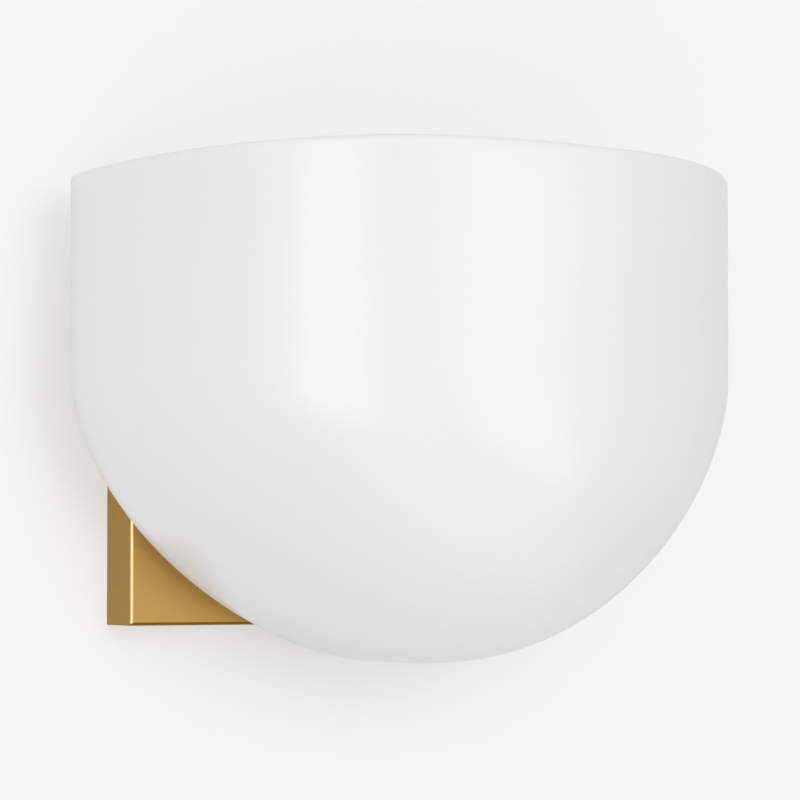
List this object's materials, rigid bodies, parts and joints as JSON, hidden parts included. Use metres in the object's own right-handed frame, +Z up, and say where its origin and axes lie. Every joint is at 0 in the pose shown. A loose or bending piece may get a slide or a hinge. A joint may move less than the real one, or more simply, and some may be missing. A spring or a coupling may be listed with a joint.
{
  "type": "uplighter wall sconce",
  "caption": "Half-round opal glass bowl, open at the top and rounded below, held in front of a rectangular brass wall plate, with candle lamps inside.",
  "frame": {"origin": "the middle of the wall bracket's rear face, on the wall", "axes": "+X to the right as seen from the room, +Y into the wall, +Z up"},
  "size_m": [0.254, 0.178, 0.1793],
  "materials": {
    "opal_glass": "polished opal white",
    "brass_plate": "satin brass",
    "brass_fitting": "satin brass",
    "brass_terminal": "plain brass",
    "zinc_steel": "bright zinc plated",
    "white_steel": "white enamel",
    "tinned_copper": "tin plated",
    "gasket_rubber": "soft black",
    "block_plastic": "natural white",
    "bush_plastic": "white",
    "holder_plastic": "heat-proof white",
    "frosted_glass": "frosted white",
    "clear_glass": "clear",
    "black_glass": "black",
    "nickel_base": "nickel plated",
    "solder_tip": "solder",
    "filament_metal": "plain",
    "live_insulation": "brown",
    "neutral_insulation": "blue",
    "earth_insulation": "green with a yellow stripe"
  },
  "bodies": {
    "fixture": {"wall_bracket": "zinc_steel", "backplate": "brass_plate", "terminal_block": "block_plastic", "terminal_sleeves": "brass_terminal", "terminal_clamp_screws": "zinc_steel", "terminal_block_screws": "zinc_steel", "earth_screw": "brass_terminal", "earth_ring_terminal": "tinned_copper", "earth_wire": "earth_insulation", "shade_studs": "zinc_steel", "stud_lock_nuts": "zinc_steel", "shade_spacers": "brass_fitting", "outer_gaskets": "gasket_rubber", "glass_shade": "opal_glass", "inner_gaskets": "gasket_rubber", "stud_washers": "zinc_steel", "wire_stem": "zinc_steel", "stem_spacer": "brass_fitting", "stem_nuts": "zinc_steel", "stem_bushes": "bush_plastic", "lamp_tray": "white_steel", "lampholder_nuts": "zinc_steel", "lampholder_left_body": "holder_plastic", "lampholder_left_shell": "brass_terminal", "lampholder_left_contact": "brass_terminal", "lampholder_left_screws": "zinc_steel", "left_live_wire": "live_insulation", "left_neutral_wire": "neutral_insulation", "lampholder_right_body": "holder_plastic", "lampholder_right_shell": "brass_terminal", "lampholder_right_contact": "brass_terminal", "lampholder_right_screws": "zinc_steel", "right_live_wire": "live_insulation", "right_neutral_wire": "neutral_insulation"},
    "lamp_left": {"lamp_left_glass": "frosted_glass", "lamp_left_base": "nickel_base", "lamp_left_collar": "black_glass", "lamp_left_tip": "solder_tip", "lamp_left_stem": "clear_glass", "lamp_left_filament": "filament_metal"},
    "lamp_right": {"lamp_right_glass": "frosted_glass", "lamp_right_base": "nickel_base", "lamp_right_collar": "black_glass", "lamp_right_tip": "solder_tip", "lamp_right_stem": "clear_glass", "lamp_right_filament": "filament_metal"},
    "shade_nut_left": {"shade_nut_left": "brass_fitting"},
    "shade_nut_right": {"shade_nut_right": "brass_fitting"},
    "plate_screw_top": {"plate_screw_top": "brass_fitting"},
    "plate_screw_bottom": {"plate_screw_bottom": "brass_fitting"}
  },
  "joints": [
    {"name": "lamp_left_turn", "type": "hinge", "parent": "fixture", "child": "lamp_left", "pos_m": [-0.042, -0.1, 0], "axis": [0, 0, 1], "continuous": true},
    {"name": "lamp_right_turn", "type": "hinge", "parent": "fixture", "child": "lamp_right", "pos_m": [0.042, -0.1, 0], "axis": [0, 0, 1], "continuous": true},
    {"name": "shade_nut_left_turn", "type": "hinge", "parent": "fixture", "child": "shade_nut_left", "pos_m": [-0.046, -0.0488, 0.02], "axis": [0, -1, 0], "continuous": true},
    {"name": "shade_nut_right_turn", "type": "hinge", "parent": "fixture", "child": "shade_nut_right", "pos_m": [0.046, -0.0488, 0.02], "axis": [0, -1, 0], "continuous": true},
    {"name": "plate_screw_top_turn", "type": "hinge", "parent": "fixture", "child": "plate_screw_top", "pos_m": [0, -0.01175, 0.0721], "axis": [0, 0, 1], "continuous": true},
    {"name": "plate_screw_bottom_turn", "type": "hinge", "parent": "fixture", "child": "plate_screw_bottom", "pos_m": [0, -0.01175, -0.0721], "axis": [0, 0, -1], "continuous": true}
  ]
}
